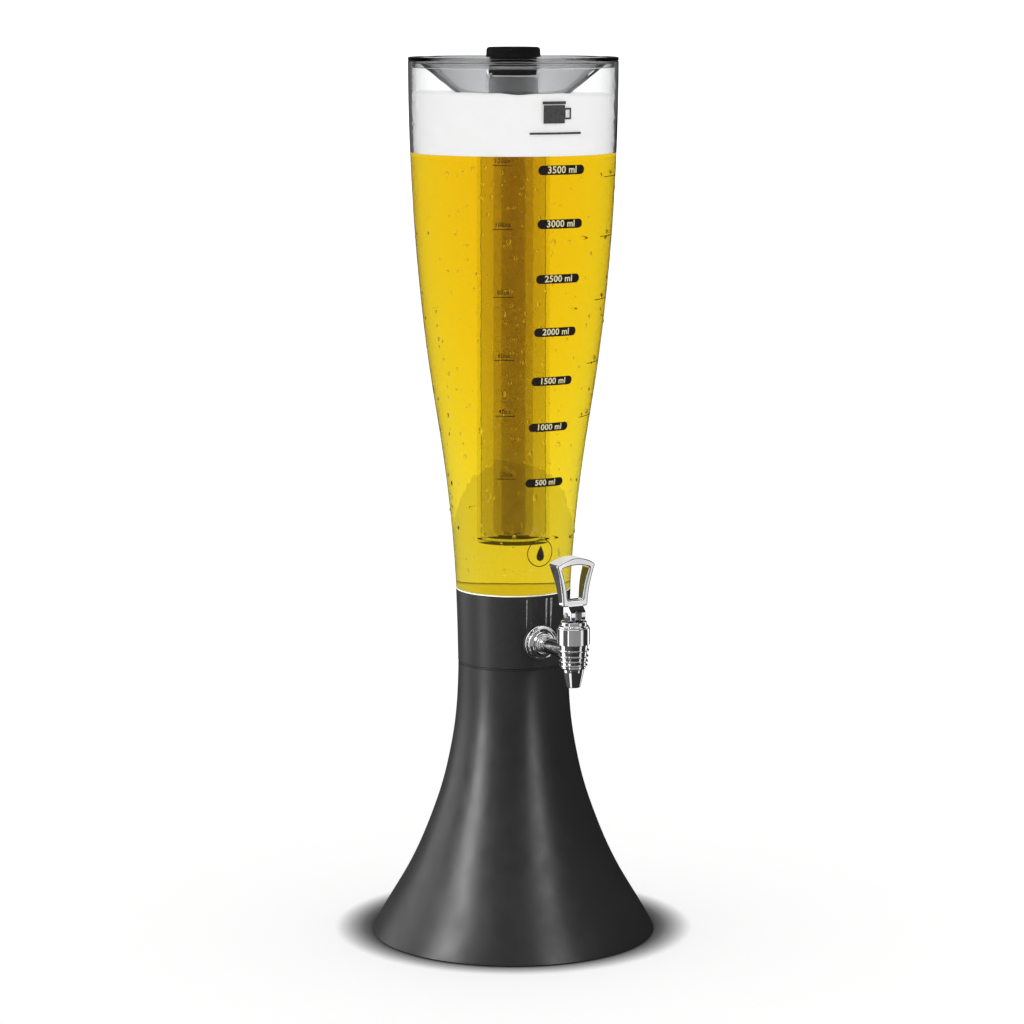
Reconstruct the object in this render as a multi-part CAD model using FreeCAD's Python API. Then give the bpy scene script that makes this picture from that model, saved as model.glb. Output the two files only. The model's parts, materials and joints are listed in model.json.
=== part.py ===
import FreeCAD, Part
import math
import os

# Beer tap tower: a clear tulip tank on a bell-shaped base, with a lever tap at
# its neck and an ice tube that hangs in it from a funnel-shaped lid.
# Millimetres. The origin is the centre of the base on the table, +Z is up, and
# the tap points along -Y.

# ---- Driving dimensions -------------------------------------------------
# Bell base: (height, outer radius) of its flank from the rim to the seam.
BASE_FLANK = [(3.0, 109.4), (23.0, 98.3), (47.0, 84.1), (71.0, 72.3), (95.0, 62.8),
              (119.0, 54.9), (143.0, 49.3), (167.0, 45.3), (191.0, 43.3), (214.0, 42.6)]
BASE_RADIUS = 110.0
BASE_WALL = 2.8
BASE_RIM_Z = 0.6            # the moulded rim stands this far off the table, on its pads
BASE_RIM_INNER = 98.0
BASE_RIM_THICK = 2.5
BASE_TOP_Z = 214.0
BASE_SOCKET_FLANK = 43.55   # outer radius level with the underside of the socket floor
SOCKET_RADIUS = 39.2
SOCKET_FLOOR_Z = 188.5
SOCKET_FLOOR_THICK = 2.5

PAD_COUNT = 6
PAD_RADIUS = 4.5
PAD_HEIGHT = 2.0
PAD_CIRCLE = 103.6

# Clear tank: (height, outer radius) of its flank from the seam to the rim.
TANK_FLANK = [(215.4, 42.5), (245.0, 43.1), (277.0, 44.3), (324.0, 47.8), (383.0, 55.0),
              (440.0, 63.8), (498.0, 70.8), (567.0, 76.3), (634.0, 79.1), (675.5, 79.6)]
TANK_WALL = 2.5
TANK_EDGE_ROUND = 0.9

# Outlet cup: the dark inner piece at the neck that holds the last of the drink.
CUP_RIM_Z = 271.5
CUP_RIM_RADIUS = 39.6
CUP_RIM_HEIGHT = 10.0
CUP_RADIUS = 38.0
CUP_WALL = 2.5
CUP_FLOOR_Z = 223.0
CUP_FLOOR_THICK = 3.0
CUP_FLANGE_RADIUS = 42.3
CUP_FLANGE_Z = 214.1
SKIRT_RADIUS = 38.9
SKIRT_END_Z = 190.5
BOSS_HALF_WIDTH = 9.6
BOSS_RADIUS = 39.7
BOSS_FLOOR_Z = 219.0
BOSS_TOP_Z = 264.0
RIB_HALF_WIDTH = 1.8
RIB_ANGLES = (-28.0, 28.0, 152.0, 208.0)
CUP_SEAL_Z = 266.2
CUP_SEAL_SECTION = 1.55
CUP_SEAL_RADIUS = 39.55
SKIRT_RING_Z = 202.0
SKIRT_RING_SECTION = 1.3
SKIRT_RING_RADIUS = 37.8
PAD_FACE = 33.2             # flat seat inside the cup, measured from the tower's axis
PAD_HALF_WIDTH = 12.6

# Tap: a horizontal shank through the neck and a vertical valve body.
TAP_REACH = 96.0            # tower axis to the valve body's axis
TAP_Z = 235.5               # height of the shank
SHANK_RADIUS = 5.9
SHANK_BORE = 3.6
SHANK_END = 24.5
SHANK_HOLE = 6.3            # hole in the tank and the cup
BODY_RADIUS = 12.35
BODY_TOP_Z = 256.3
BODY_SMOOTH_Z = 244.6
BODY_FOOT_RADIUS = 10.3
BODY_FOOT_Z = 224.7
FIN_COUNT = 5
FIN_THICK = 0.95
FIN_DEPTH = 1.25
FIN_PITCH = 5.2             # the first pitch; each next one is shorter
FIN_PITCH_RATIO = 0.85
CHAMBER_RADIUS = 8.6
SEAT_Z = 230.0
SEAT_HOLE = 4.2
NOZZLE_SOCKET = 6.5
NOZZLE_SOCKET_Z = 228.0
NOZZLE_END_Z = 210.5
NOZZLE_TOP_RADIUS = 8.2
NOZZLE_END_RADIUS = 5.2
NOZZLE_BORE = 3.7
BONNET_RADIUS = 10.0
BONNET_FOOT_Z = 249.0
BONNET_TOP_Z = 260.9
BONNET_LIP_RADIUS = 11.7
BODY_SEAL_RADIUS = 11.1
BODY_SEAL_Z = 255.3
STEM_SEAL_RADIUS = 4.4
STEM_SEAL_HEIGHT = 2.2
WASHER_RADIUS = 6.4
WASHER_THICK = 0.8
FLANGE_BACK = 44.0          # distances from the tower's axis
FLANGE_FRONT = 50.5
FLANGE_RADIUS = 13.7
COLLAR_FRONT = 52.3
COLLAR_RADIUS = 7.2
GASKET_RADIUS = 10.8
GASKET_THICK = 1.8
NUT_THICK = 5.0
NUT_ACROSS_FLATS = 19.0

# Lever and stem: the lever's heel rolls on the bonnet and lifts the stem.
PIN_Z = 265.6
PIN_RADIUS = 1.5
PIN_HEAD_RADIUS = 2.3
PIN_HALF_LENGTH = 7.2
HEEL_RADIUS = 4.6
HEEL_OFFSET = 3.2           # heel centre, in front of the pin
HEEL_BACK = 5.0
EAR_HALF_WIDTH = 6.3
SLOT_HALF_WIDTH = 2.8
SLOT_TOP_Z = 270.2
LOOP_FOOT_Z = 272.3
LOOP_TOP_Z = 309.2
LOOP_SHAPE = (10.4, LOOP_FOOT_Z, 16.6, 304.0, LOOP_TOP_Z)   # half width and z of foot and corner, top z
LOOP_SIDE_HOLLOW = 1.3
LOOP_CORNER_ROUND = 1.9
LOOP_EDGE_ROUND = 1.2
LOOP_FRONT_FOOT = -3.3      # the grip's front and back faces, measured from the valve's axis
LOOP_FRONT_TOP = -4.5
LOOP_BACK_FOOT = 4.2
LOOP_BACK_TOP = 10.4
OPENING_SHAPE = (6.5, 277.4, 12.0, 301.4, 303.6)
OPENING_SIDE_HOLLOW = 0.9
OPENING_CORNER_ROUND = 1.6
STEM_RADIUS = 2.4
STEM_BORE = 2.5
TONGUE_HALF_THICK = 2.6
TONGUE_RADIUS = 3.5
PLUG_RADIUS = 6.2
PLUG_HEIGHT = 4.0
SEAT_GAP = 0.05
STEM_FOOT_Z = 231.2
STEM_FOOT_RADIUS = 1.8
STEM_COLLAR_RADIUS = 5.6
STEM_COLLAR_Z = SEAT_Z + SEAT_GAP + PLUG_HEIGHT
STEM_COLLAR_THICK = 1.2
SPRING_WIRE = 0.45          # wire radius
SPRING_RADIUS = 4.6
SPRING_TURNS = 5
SPRING_LOW = STEM_COLLAR_Z + STEM_COLLAR_THICK + SPRING_WIRE
SPRING_HIGH = BONNET_FOOT_Z - WASHER_THICK - SPRING_WIRE

# Lid, ice tube and cap.
LID_TOP_Z = 678.0
LID_FLANGE_Z = 675.6
LID_RADIUS = 79.6
LID_PLUG_RADIUS = 76.6
LID_PLUG_END_Z = 670.2
LID_WALL = 2.0
FUNNEL_MOUTH = 71.5
FUNNEL_FOOT_Z = 637.0
LID_COLLAR_TOP_Z = 645.0
LID_COLLAR_END_Z = 631.0
LID_COLLAR_BORE = 20.9
VENT_RADIUS = 2.5
VENT_CIRCLE = 60.0
TUBE_RADIUS = 20.5
TUBE_WALL = 2.4
TUBE_TOP_Z = 677.9
TUBE_END_Z = 312.0
COLLAR_RING_RADIUS = 24.5
COLLAR_RING_HEIGHT = 3.4
CAP_RADIUS = 20.6
CAP_TOP_Z = 685.5
CAP_PLUG_RADIUS = 17.7
CAP_PLUG_END_Z = 665.0
CAP_WALL = 2.2
CAP_SEAL_Z = 671.0
CAP_SEAL_SECTION = 1.2
CAP_SEAL_RADIUS = 16.85

LIFT_GAP = 0.1              # between faces that rest on each other and lift apart
MIN_EDGE = 1e-6             # a shorter edge between two rounded corners is left out


# ---- Shapes -------------------------------------------------------------
def V(x, y, z):
    return FreeCAD.Vector(x, y, z)


def line(a, b):
    return Part.LineSegment(a, b).toShape()


def outline(corners, place=lambda u, w: V(u, 0, w)):
    """Face from (u, w) or (u, w, radius) corners; a radius rounds that corner."""
    points = [place(c[0], c[1]) for c in corners]
    bends = []
    for i, corner in enumerate(corners):
        here = points[i]
        if len(corner) < 3:
            bends.append([here])
            continue
        radius = corner[2]
        back = (points[i - 1] - here).normalize()
        on = (points[(i + 1) % len(points)] - here).normalize()
        half = back.getAngle(on) / 2
        reach = radius / math.tan(half)
        inward = (back + on).normalize() * (radius / math.sin(half) - radius)
        bends.append([here + back * reach, here + inward, here + on * reach])
    path = []
    for bend, following in zip(bends, bends[1:] + bends[:1]):
        if len(bend) == 3:
            path.append(Part.Arc(*bend).toShape())
        if bend[-1].distanceToPoint(following[0]) > MIN_EDGE:
            path.append(line(bend[-1], following[0]))
    return Part.Face(Part.Wire(path))


def turned(corners, x=0.0, y=0.0):
    """Solid of revolution about a vertical axis, from an outline of (radius, height)."""
    solid = outline(corners).revolve(V(0, 0, 0), V(0, 0, 1), 360)
    solid.translate(V(x, y, 0))
    return solid


def turned_forward(corners):
    """The same about the shank's axis, from an outline of (radius, distance from the tower axis)."""
    solid = turned(corners)
    solid.rotate(V(0, 0, 0), V(1, 0, 0), 90)
    solid.translate(V(0, 0, TAP_Z))
    return solid


def ring(outer, inner, low, high, x=0.0, y=0.0):
    return turned([(inner, low), (outer, low), (outer, high), (inner, high)], x, y)


def disc(radius, low, high, x=0.0, y=0.0):
    return Part.makeCylinder(radius, high - low, V(x, y, low))


def o_ring(radius, section, z, x=0.0, y=0.0):
    return Part.makeTorus(radius, section, V(x, y, z), V(0, 0, 1))


def rod_forward(radius, near, far, x=0.0, z=TAP_Z):
    return Part.makeCylinder(radius, far - near, V(x, -near, z), V(0, -1, 0))


def rod_across(radius, half_length, y, z):
    return Part.makeCylinder(radius, 2 * half_length, V(-half_length, y, z), V(1, 0, 0))


def box(x0, x1, y0, y1, z0, z1):
    return Part.makeBox(x1 - x0, y1 - y0, z1 - z0, V(x0, y0, z0))


def flank(points, inset=0.0):
    """Smooth edge through (height, radius) points, moved inwards by inset."""
    curve = Part.BSplineCurve()
    curve.interpolate([V(r - inset, 0, z) for z, r in points])
    return curve.toShape()


def revolve_edges(edges):
    face = Part.Face(Part.Wire(Part.__sortEdges__(edges)))
    return face.revolve(V(0, 0, 0), V(0, 0, 1), 360)


def round_edges(solid, radius, wanted):
    """Fillet the edges for which wanted(edge) is true."""
    return solid.makeFillet(radius, [e for e in solid.Edges if wanted(e)])


# ---- Bell base ----------------------------------------------------------
def pad_places():
    for i in range(PAD_COUNT):
        turn = 2 * math.pi * i / PAD_COUNT
        yield PAD_CIRCLE * math.cos(turn), PAD_CIRCLE * math.sin(turn)


def make_base_shell():
    rim_top = BASE_RIM_Z + BASE_RIM_THICK
    inside = [(z, r) for z, r in BASE_FLANK if z < SOCKET_FLOOR_Z - SOCKET_FLOOR_THICK]
    floor_foot = SOCKET_FLOOR_Z - SOCKET_FLOOR_THICK
    inside[0] = (rim_top, inside[0][1])
    inside.append((floor_foot, BASE_SOCKET_FLANK))
    outer, inner = flank(BASE_FLANK), flank(inside, BASE_WALL)
    foot_of_inner = V(inside[0][1] - BASE_WALL, 0, rim_top)
    top_of_inner = V(inside[-1][1] - BASE_WALL, 0, floor_foot)
    foot_of_outer = V(BASE_FLANK[0][1], 0, BASE_FLANK[0][0])
    rim_side = V(BASE_RADIUS, 0, BASE_RIM_Z + 1.0)
    rim_foot = V(BASE_RADIUS - 0.6, 0, BASE_RIM_Z)
    corners = [
        rim_foot,
        V(BASE_RIM_INNER, 0, BASE_RIM_Z),
        V(BASE_RIM_INNER, 0, rim_top),
        foot_of_inner,
    ]
    upper = [
        top_of_inner,
        V(0, 0, floor_foot),
        V(0, 0, SOCKET_FLOOR_Z),
        V(SOCKET_RADIUS, 0, SOCKET_FLOOR_Z),
        V(SOCKET_RADIUS, 0, BASE_TOP_Z - 0.6),
        V(SOCKET_RADIUS + 0.6, 0, BASE_TOP_Z),
        V(BASE_FLANK[-1][1], 0, BASE_TOP_Z),
    ]
    edges = [outer, inner, line(foot_of_outer, rim_side), line(rim_side, rim_foot)]
    edges += [line(a, b) for a, b in zip(corners, corners[1:])]
    edges += [line(a, b) for a, b in zip(upper, upper[1:])]
    shell = revolve_edges(edges)
    pockets = [disc(PAD_RADIUS, 0, PAD_HEIGHT, x, y) for x, y in pad_places()]
    return shell.cut(pockets)


def make_foot_pads():
    section = [
        (0, 0),
        (PAD_RADIUS - 0.4, 0),
        (PAD_RADIUS, 0.4),
        (PAD_RADIUS, PAD_HEIGHT),
        (0, PAD_HEIGHT),
    ]
    return Part.Compound([turned(section, x, y) for x, y in pad_places()])


# ---- Tank and outlet cup --------------------------------------------------
def make_tank():
    foot_z, foot_radius = TANK_FLANK[0]
    rim_z, rim_radius = TANK_FLANK[-1]
    edges = [
        flank(TANK_FLANK),
        flank(TANK_FLANK, TANK_WALL),
        line(V(foot_radius - TANK_WALL, 0, foot_z), V(foot_radius, 0, foot_z)),
        line(V(rim_radius - TANK_WALL, 0, rim_z), V(rim_radius, 0, rim_z)),
    ]
    tank = revolve_edges(edges)
    tank = round_edges(tank, TANK_EDGE_ROUND, lambda e: e.BoundBox.ZMin > rim_z - 0.01)
    return tank.cut(rod_forward(SHANK_HOLE, SHANK_END, FLANGE_BACK))


def make_tank_core():
    """The whole space inside the tank's outer face, to shape what sits against it."""
    foot_z, foot_radius = TANK_FLANK[0]
    rim_z, rim_radius = TANK_FLANK[-1]
    return revolve_edges([
        flank(TANK_FLANK),
        line(V(0, 0, foot_z), V(foot_radius, 0, foot_z)),
        line(V(0, 0, foot_z), V(0, 0, rim_z)),
        line(V(0, 0, rim_z), V(rim_radius, 0, rim_z)),
    ])


def make_outlet_cup():
    seal_groove = CUP_SEAL_RADIUS - CUP_SEAL_SECTION
    ring_groove = SKIRT_RING_RADIUS - SKIRT_RING_SECTION
    foot_z = TANK_FLANK[0][0]
    inner = CUP_RADIUS - CUP_WALL
    cup = turned([
        (0, CUP_FLOOR_Z),
        (inner, CUP_FLOOR_Z, 3.0),
        (inner, CUP_RIM_Z),
        (CUP_RIM_RADIUS, CUP_RIM_Z, 0.8),
        (CUP_RIM_RADIUS, CUP_SEAL_Z + CUP_SEAL_SECTION),
        (seal_groove, CUP_SEAL_Z + CUP_SEAL_SECTION),
        (seal_groove, CUP_SEAL_Z - CUP_SEAL_SECTION),
        (CUP_RIM_RADIUS, CUP_SEAL_Z - CUP_SEAL_SECTION),
        (CUP_RIM_RADIUS, CUP_RIM_Z - CUP_RIM_HEIGHT, 0.5),
        (CUP_RADIUS, CUP_RIM_Z - CUP_RIM_HEIGHT - 1.5),
        (CUP_RADIUS, foot_z + 2.4),
        (BOSS_RADIUS, foot_z + 2.4, 0.4),
        (BOSS_RADIUS, foot_z),
        (CUP_FLANGE_RADIUS, foot_z, 0.3),
        (CUP_FLANGE_RADIUS, CUP_FLANGE_Z, 0.3),
        (SKIRT_RADIUS, CUP_FLANGE_Z),
        (SKIRT_RADIUS, SKIRT_RING_Z + SKIRT_RING_SECTION),
        (ring_groove, SKIRT_RING_Z + SKIRT_RING_SECTION),
        (ring_groove, SKIRT_RING_Z - SKIRT_RING_SECTION),
        (SKIRT_RADIUS, SKIRT_RING_Z - SKIRT_RING_SECTION),
        (SKIRT_RADIUS, SKIRT_END_Z, 1.2),
        (ring_groove - 2.0, SKIRT_END_Z, 0.6),
        (ring_groove - 2.0, CUP_FLOOR_Z - CUP_FLOOR_THICK, 2.0),
        (0, CUP_FLOOR_Z - CUP_FLOOR_THICK),
    ])
    band = ring(BOSS_RADIUS, CUP_RADIUS - 0.5, BOSS_FLOOR_Z - 2.0, BOSS_TOP_Z - 2.0)
    boss = band.common(box(-BOSS_HALF_WIDTH, BOSS_HALF_WIDTH, -50, 0, BOSS_FLOOR_Z - 2.0, BOSS_TOP_Z))
    ribs = []
    for angle in RIB_ANGLES:
        bar = box(-RIB_HALF_WIDTH, RIB_HALF_WIDTH, -50, 0, BOSS_FLOOR_Z - 2.0, BOSS_TOP_Z)
        bar.rotate(V(0, 0, 0), V(0, 0, 1), angle)
        ribs.append(band.common(bar))
    seat_low, seat_high = CUP_FLOOR_Z - 1.0, TAP_Z + PAD_HALF_WIDTH
    seat_bar = box(-PAD_HALF_WIDTH, PAD_HALF_WIDTH, -CUP_RADIUS, -PAD_FACE, seat_low, seat_high)
    seat = seat_bar.common(disc(CUP_RADIUS - 1.0, seat_low, seat_high))
    cup = cup.fuse([boss, seat] + ribs).removeSplitter()
    return cup.cut(rod_forward(SHANK_HOLE, SHANK_END, FLANGE_BACK))


# ---- Tap: fixed pieces -----------------------------------------------------
def body_radius(z):
    """Outer radius of the finned part, which tapers towards the foot."""
    share = (BODY_SMOOTH_Z - z) / (BODY_SMOOTH_Z - BODY_FOOT_Z)
    return BODY_RADIUS + (BODY_FOOT_RADIUS - BODY_RADIUS) * share


def fin_corners():
    """The finned flank from the top down, one fin after another."""
    corners, z, pitch = [], BODY_SMOOTH_Z, FIN_PITCH
    for i in range(FIN_COUNT):
        low = z - FIN_THICK
        corners += [(body_radius(z), z, 0.3), (body_radius(low), low, 0.3)]
        corners.append((body_radius(low) - FIN_DEPTH, low - 0.3))
        z -= pitch
        pitch *= FIN_PITCH_RATIO
        if i < FIN_COUNT - 1:
            corners.append((body_radius(z) - FIN_DEPTH, z + 0.3))
    return corners[2:]


def make_tap_body():
    valve = turned([
        (0, BODY_FOOT_Z),
        (BODY_FOOT_RADIUS - 1.6, BODY_FOOT_Z, 0.4),
        (BODY_FOOT_RADIUS - 0.7, BODY_FOOT_Z + 1.0)]
        + fin_corners()[::-1]
        + [(BODY_RADIUS, BODY_SMOOTH_Z - FIN_THICK, 0.3), (BODY_RADIUS, BODY_TOP_Z, 0.9), (0, BODY_TOP_Z)],
        y=-TAP_REACH)
    shank = turned_forward([
        (0, SHANK_END),
        (SHANK_RADIUS, SHANK_END, 0.8),
        (SHANK_RADIUS, FLANGE_FRONT),
        (COLLAR_RADIUS, FLANGE_FRONT),
        (COLLAR_RADIUS, COLLAR_FRONT, 0.7),
        (SHANK_RADIUS, COLLAR_FRONT, 0.5),
        (SHANK_RADIUS, TAP_REACH - CHAMBER_RADIUS),
        (0, TAP_REACH - CHAMBER_RADIUS),
    ])
    hollows = [
        disc(NOZZLE_SOCKET, BODY_FOOT_Z - 1, NOZZLE_SOCKET_Z, y=-TAP_REACH),
        disc(SEAT_HOLE, BODY_FOOT_Z, SEAT_Z + 1, y=-TAP_REACH),
        disc(CHAMBER_RADIUS, SEAT_Z, BODY_TOP_Z + 1, y=-TAP_REACH),
        disc(BONNET_RADIUS, BONNET_FOOT_Z, BODY_TOP_Z + 1, y=-TAP_REACH),
        rod_forward(SHANK_BORE, SHANK_END - 1, TAP_REACH),
        ring(BODY_SEAL_RADIUS, BONNET_RADIUS, BODY_SEAL_Z, BODY_TOP_Z + 1, y=-TAP_REACH),
    ]
    return valve.fuse(shank).removeSplitter().cut(hollows)


def make_body_seal():
    return ring(BODY_SEAL_RADIUS, BONNET_RADIUS, BODY_SEAL_Z, BODY_TOP_Z, y=-TAP_REACH)


def make_spout_nozzle():
    return turned([
        (SEAT_HOLE, NOZZLE_SOCKET_Z),
        (NOZZLE_SOCKET, NOZZLE_SOCKET_Z, 0.3),
        (NOZZLE_SOCKET, BODY_FOOT_Z),
        (NOZZLE_TOP_RADIUS, BODY_FOOT_Z, 0.3),
        (NOZZLE_TOP_RADIUS - 0.3, BODY_FOOT_Z - 2.4, 2.0),
        (NOZZLE_END_RADIUS + 0.3, NOZZLE_END_Z + 0.9, 1.0),
        (NOZZLE_END_RADIUS, NOZZLE_END_Z, 0.6),
        (NOZZLE_BORE, NOZZLE_END_Z, 0.6),
        (NOZZLE_BORE + 0.1, BODY_FOOT_Z - 3.0),
    ], y=-TAP_REACH)


def make_tap_flange():
    return turned_forward([
        (SHANK_RADIUS, FLANGE_BACK),
        (FLANGE_RADIUS, FLANGE_BACK, 0.4),
        (FLANGE_RADIUS, FLANGE_BACK + 1.9, 0.9),
        (12.3, FLANGE_BACK + 2.1),
        (11.9, FLANGE_BACK + 1.6),
        (11.2, FLANGE_BACK + 3.4, 1.2),
        (8.9, FLANGE_BACK + 4.6, 1.8),
        (7.9, FLANGE_FRONT, 0.6),
        (SHANK_RADIUS, FLANGE_FRONT),
    ])


def make_outer_gasket(core):
    blank = rod_forward(FLANGE_RADIUS - 0.5, FLANGE_BACK - 6, FLANGE_BACK)
    return blank.cut([core, rod_forward(SHANK_RADIUS, FLANGE_BACK - 8, FLANGE_BACK + 1)])


def make_inner_gasket():
    return turned_forward([
        (SHANK_RADIUS, PAD_FACE - GASKET_THICK),
        (GASKET_RADIUS, PAD_FACE - GASKET_THICK, 0.3),
        (GASKET_RADIUS, PAD_FACE, 0.3),
        (SHANK_RADIUS, PAD_FACE),
    ])


def make_lock_nut():
    front = PAD_FACE - GASKET_THICK
    corner = NUT_ACROSS_FLATS / math.sqrt(3)
    points = []
    for i in range(6):
        turn = math.pi * i / 3
        points.append(V(corner * math.cos(turn), NUT_THICK - front, TAP_Z + corner * math.sin(turn)))
    hexagon = Part.Face(Part.makePolygon(points + points[:1])).extrude(V(0, -NUT_THICK, 0))
    dome = turned_forward([
        (0, front - NUT_THICK),
        (corner - 1.2, front - NUT_THICK),
        (corner + 0.2, front - NUT_THICK + 0.9),
        (corner + 0.2, front),
        (0, front),
    ])
    return hexagon.common(dome).cut(rod_forward(SHANK_RADIUS, SHANK_END - 1, PAD_FACE))


def make_tap_bonnet():
    pocket_top = BONNET_FOOT_Z + STEM_SEAL_HEIGHT
    return turned([
        (STEM_BORE, pocket_top),
        (STEM_SEAL_RADIUS, pocket_top),
        (STEM_SEAL_RADIUS, BONNET_FOOT_Z),
        (BONNET_RADIUS, BONNET_FOOT_Z, 0.5),
        (BONNET_RADIUS, BODY_TOP_Z),
        (BONNET_LIP_RADIUS, BODY_TOP_Z, 0.3),
        (BONNET_LIP_RADIUS - 0.3, BODY_TOP_Z + 1.0, 0.4),
        (BONNET_RADIUS + 0.1, BODY_TOP_Z + 1.9, 0.8),
        (BONNET_RADIUS, BONNET_TOP_Z, 0.7),
        (STEM_BORE, BONNET_TOP_Z, 0.3),
    ], y=-TAP_REACH)


def make_stem_seal():
    seal_top = BONNET_FOOT_Z + STEM_SEAL_HEIGHT
    return ring(STEM_SEAL_RADIUS, STEM_BORE, BONNET_FOOT_Z, seal_top, y=-TAP_REACH)


def make_spring_washer():
    foot = BONNET_FOOT_Z - WASHER_THICK
    return ring(WASHER_RADIUS, STEM_BORE + 0.2, foot, BONNET_FOOT_Z, y=-TAP_REACH)


# ---- Tap: moving pieces ----------------------------------------------------
def make_stem():
    top = PIN_Z + TONGUE_RADIUS
    rod = turned([
        (0, STEM_FOOT_Z),
        (STEM_FOOT_RADIUS, STEM_FOOT_Z, 0.3),
        (STEM_FOOT_RADIUS, STEM_COLLAR_Z),
        (STEM_COLLAR_RADIUS, STEM_COLLAR_Z, 0.3),
        (STEM_COLLAR_RADIUS, STEM_COLLAR_Z + STEM_COLLAR_THICK, 0.3),
        (STEM_RADIUS, STEM_COLLAR_Z + STEM_COLLAR_THICK),
        (STEM_RADIUS, PIN_Z),
        (0, PIN_Z),
    ], y=-TAP_REACH)
    tongue = outline([
        (-TONGUE_RADIUS, BONNET_TOP_Z + 0.6, 1.0),
        (TONGUE_RADIUS, BONNET_TOP_Z + 0.6, 1.0),
        (TONGUE_RADIUS, top, TONGUE_RADIUS - 0.01),
        (-TONGUE_RADIUS, top, TONGUE_RADIUS - 0.01),
    ], lambda u, w: V(-TONGUE_HALF_THICK, u - TAP_REACH, w)).extrude(V(2 * TONGUE_HALF_THICK, 0, 0))
    hole = rod_across(PIN_RADIUS + 0.06, 10, -TAP_REACH, PIN_Z)
    return rod.fuse(tongue).removeSplitter().cut(hole)


def make_seat_plug():
    low = SEAT_Z + SEAT_GAP
    plug = turned([
        (0, low),
        (PLUG_RADIUS, low, 0.8),
        (PLUG_RADIUS, low + PLUG_HEIGHT, 0.5),
        (0, low + PLUG_HEIGHT),
    ], y=-TAP_REACH)
    return plug.cut(disc(STEM_FOOT_RADIUS, STEM_FOOT_Z, STEM_COLLAR_Z + 1, y=-TAP_REACH))


def make_spring():
    height = SPRING_HIGH - SPRING_LOW
    helix = Part.makeHelix(height / SPRING_TURNS, height, SPRING_RADIUS)
    section = Part.Wire(Part.makeCircle(SPRING_WIRE, V(SPRING_RADIUS, 0, 0), V(0, 1, 0)))
    coil = Part.Wire(helix).makePipeShell([section], True, True)
    coil.translate(V(0, -TAP_REACH, SPRING_LOW))
    return coil


def lever_side():
    """Side shape of the whole lever: rounded heel, neck and a grip that widens upwards."""
    front = -(HEEL_OFFSET + HEEL_RADIUS)
    foot = PIN_Z - HEEL_RADIUS
    corners = [
        (HEEL_BACK, foot, 0.8),
        (front, foot, HEEL_RADIUS),
        (front, PIN_Z + 2.6, 1.5),
        (LOOP_FRONT_FOOT, LOOP_FOOT_Z + 0.4, 2.0),
        (LOOP_FRONT_TOP, LOOP_TOP_Z + 2),
        (LOOP_BACK_TOP, LOOP_TOP_Z + 2),
        (LOOP_BACK_FOOT, LOOP_FOOT_Z + 0.4, 2.0),
        (HEEL_BACK, PIN_Z + 2.6, 1.5),
    ]
    face = outline(corners, lambda u, w: V(-20, u - TAP_REACH, w))
    return face.extrude(V(40, 0, 0))


def fan_face(shape, hollow):
    """Fan-shaped face in the plane of the grip: hollow sides under an arched top."""
    foot_half, foot_z, corner_half, corner_z, top_z = shape
    mid_z = (foot_z + corner_z) / 2
    mid_half = (foot_half + corner_half) / 2 - hollow

    def at(x, z):
        return V(x, -TAP_REACH - 8, z)

    right = Part.Arc(at(foot_half, foot_z), at(mid_half, mid_z), at(corner_half, corner_z))
    top = Part.Arc(at(corner_half, corner_z), at(0, top_z), at(-corner_half, corner_z))
    left = Part.Arc(at(-corner_half, corner_z), at(-mid_half, mid_z), at(-foot_half, foot_z))
    foot = line(at(-foot_half, foot_z), at(foot_half, foot_z))
    return Part.Face(Part.Wire([foot, right.toShape(), top.toShape(), left.toShape()]))


def upright(edge):
    """True for a straight edge that runs front to back."""
    if not isinstance(edge.Curve, Part.Line):
        return False
    return abs(edge.tangentAt(edge.FirstParameter).y) > 0.999


def make_lever_handle():
    side = lever_side()
    depth = V(0, 20, 0)
    fan = fan_face(LOOP_SHAPE, LOOP_SIDE_HOLLOW).extrude(depth)
    gap = fan_face(OPENING_SHAPE, OPENING_SIDE_HOLLOW).extrude(depth)
    fan = round_edges(fan, LOOP_CORNER_ROUND, upright)
    gap = round_edges(gap, OPENING_CORNER_ROUND, upright)
    loop = fan.common(side).cut(gap)
    rim_z = LOOP_FOOT_Z + 1.0
    loop = round_edges(loop, LOOP_EDGE_ROUND, lambda e: e.BoundBox.ZMin > rim_z and not upright(e))
    ears_face = outline([
        (-EAR_HALF_WIDTH, -8.2, 1.6),
        (EAR_HALF_WIDTH, -8.2, 1.6),
        (EAR_HALF_WIDTH, 5.6, 1.6),
        (-EAR_HALF_WIDTH, 5.6, 1.6),
    ], lambda u, w: V(u, w - TAP_REACH, PIN_Z - 6))
    ears = ears_face.extrude(V(0, 0, LOOP_FOOT_Z + 1.5 - (PIN_Z - 6))).common(side)
    slot = box(-SLOT_HALF_WIDTH, SLOT_HALF_WIDTH, -TAP_REACH - 12, -TAP_REACH + 12, PIN_Z - 7, SLOT_TOP_Z)
    hole = rod_across(PIN_RADIUS, 10, -TAP_REACH, PIN_Z)
    return loop.fuse(ears).removeSplitter().cut([slot, hole])


def make_lever_pin():
    pin = turned([
        (0, -PIN_HALF_LENGTH),
        (PIN_HEAD_RADIUS, -PIN_HALF_LENGTH, 0.5),
        (PIN_HEAD_RADIUS, -EAR_HALF_WIDTH),
        (PIN_RADIUS, -EAR_HALF_WIDTH),
        (PIN_RADIUS, EAR_HALF_WIDTH),
        (PIN_HEAD_RADIUS, EAR_HALF_WIDTH),
        (PIN_HEAD_RADIUS, PIN_HALF_LENGTH, 0.5),
        (0, PIN_HALF_LENGTH),
    ])
    pin.rotate(V(0, 0, 0), V(0, 1, 0), 90)
    pin.translate(V(0, -TAP_REACH, PIN_Z))
    return pin


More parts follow.
